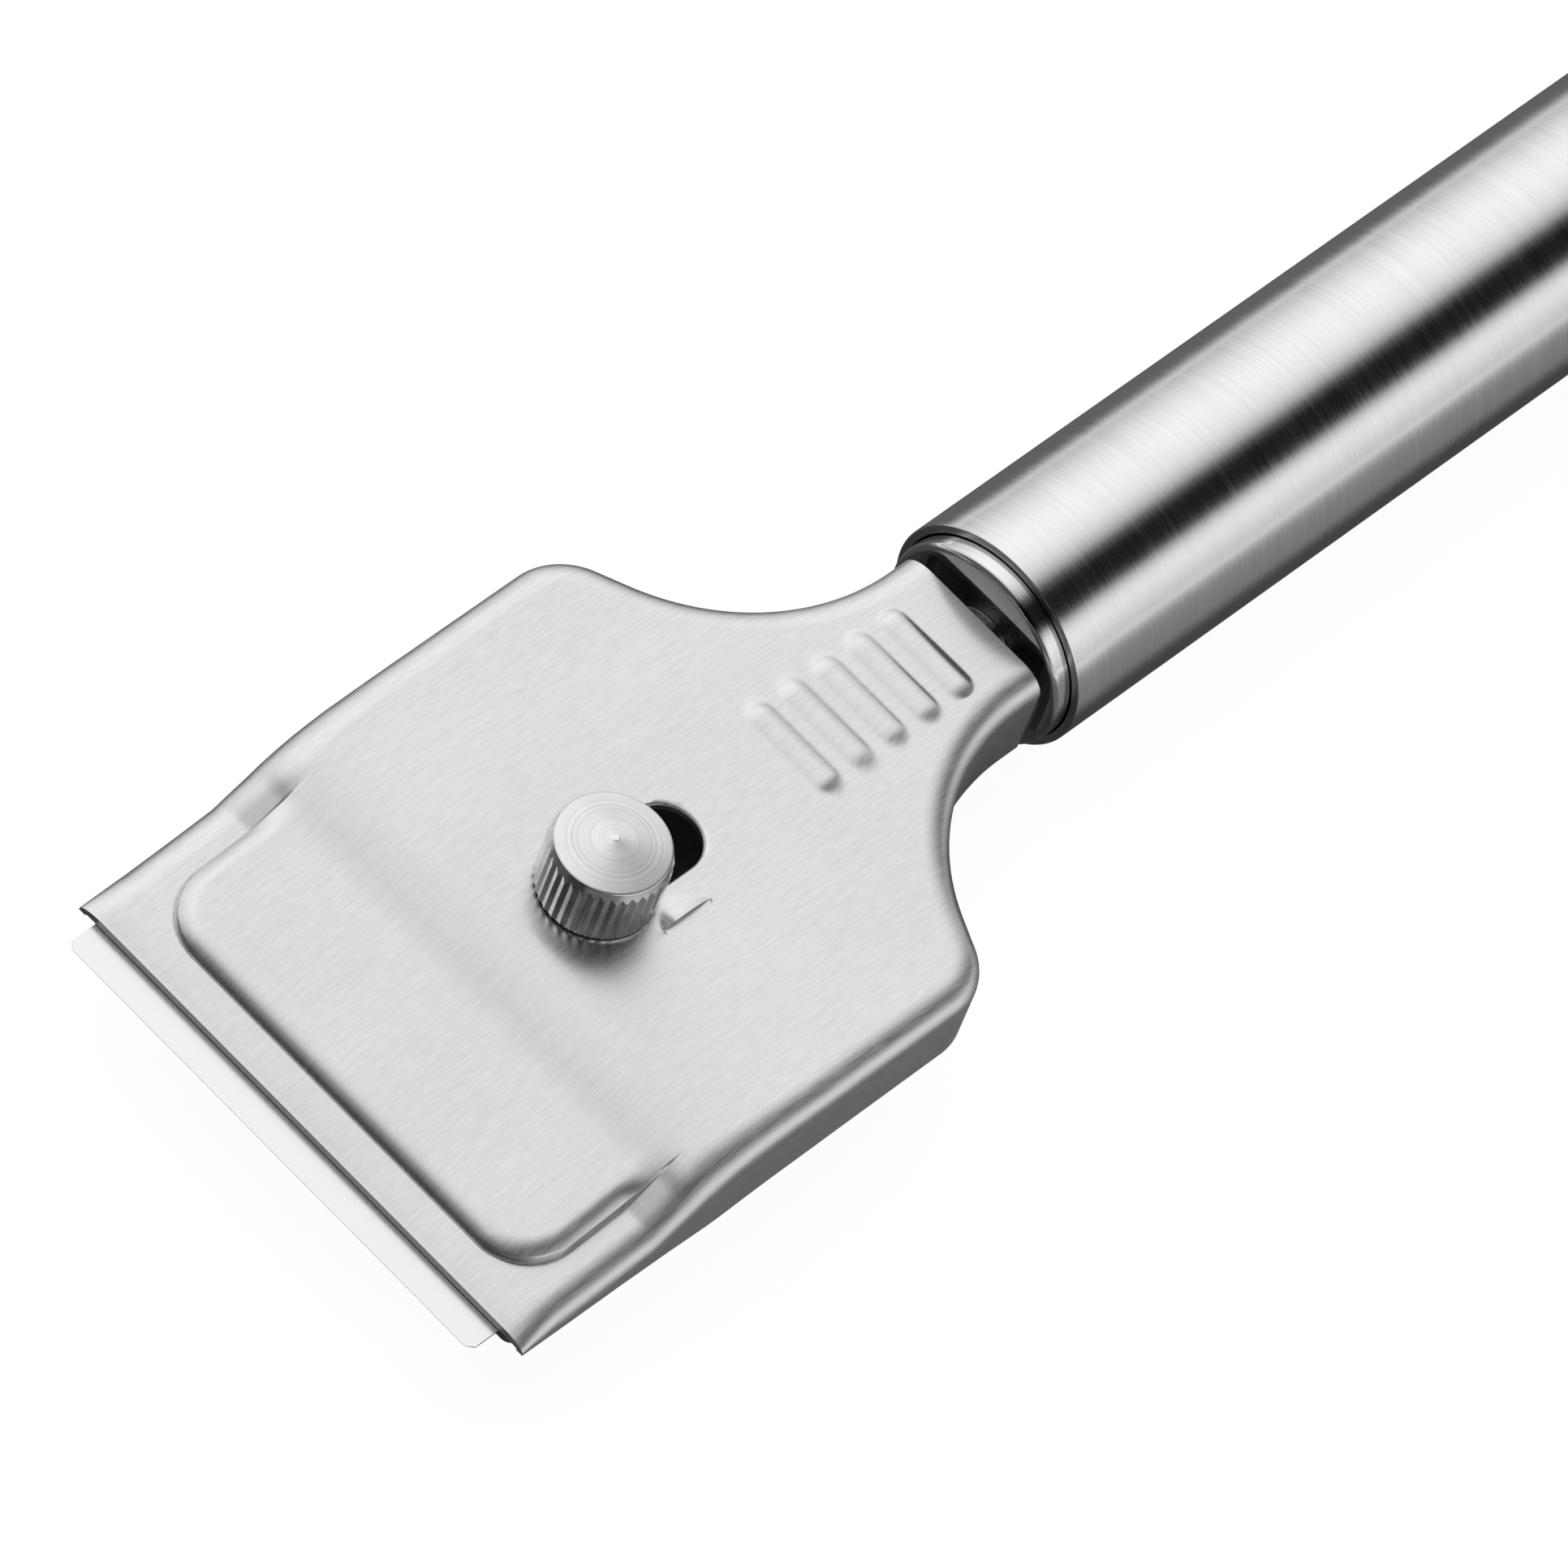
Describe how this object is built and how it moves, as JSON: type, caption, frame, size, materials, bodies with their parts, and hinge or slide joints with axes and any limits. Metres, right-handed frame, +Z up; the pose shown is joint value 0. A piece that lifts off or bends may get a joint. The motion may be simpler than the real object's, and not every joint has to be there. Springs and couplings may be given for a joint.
{
  "type": "hob scraper",
  "caption": "Stainless glass-ceramic hob scraper: pressed head with a sliding razor blade, knurled clamping knob in a slot, ribbed neck and round tube handle with a hanging eye.",
  "frame": {"origin": "below the middle of the tool's bounding box, at the height of the underside of the tube", "axes": "blade towards -X, handle towards +X, +Z up out of the top of the head"},
  "size_m": [0.2, 0.0428, 0.0189],
  "materials": {
    "brushed_sheet": "stainless sheet, fine straight brushing",
    "brushed_tube": "stainless tube, fine brushing round the tube",
    "polished_steel": "polished stainless steel",
    "turned_knob": "turned stainless steel, straight knurl",
    "turned_steel": "plain turned stainless steel",
    "plain_sheet": "plain rolled stainless sheet",
    "dark_sheet": "dull rolled steel sheet",
    "blade_steel": "ground carbon steel blade"
  },
  "bodies": {
    "handle": {"top_cover": "brushed_sheet", "neck_tang": "turned_steel", "front_plug": "polished_steel", "handle_tube": "brushed_tube", "end_cap": "polished_steel", "hanging_eye": "polished_steel"},
    "blade_slide": {"blade_tray": "dark_sheet", "clamp_plate": "plain_sheet", "blade": "blade_steel", "locating_pins": "turned_steel", "guide_bush": "turned_steel", "clamp_screw": "turned_steel"},
    "washer": {"thrust_washer": "turned_steel"},
    "knob": {"knurled_knob": "turned_knob"}
  },
  "joints": [
    {"name": "blade_travel", "type": "slide", "parent": "handle", "child": "blade_slide", "axis": [1, 0, 0], "range_m": [0, 0.0064]},
    {"name": "knob_lift", "type": "slide", "parent": "blade_slide", "child": "washer", "axis": [0, 0, 1], "range_m": [0, 0.0007]},
    {"name": "knob_turn", "type": "hinge", "parent": "washer", "child": "knob", "pos_m": [-0.07146, 0, 0.01285], "axis": [0, 0, 1], "range_deg": [0, 360]}
  ],
  "couplings": [
    {"joint": "knob_turn", "follows": "knob_lift", "rad_per_m": 8976}
  ]
}
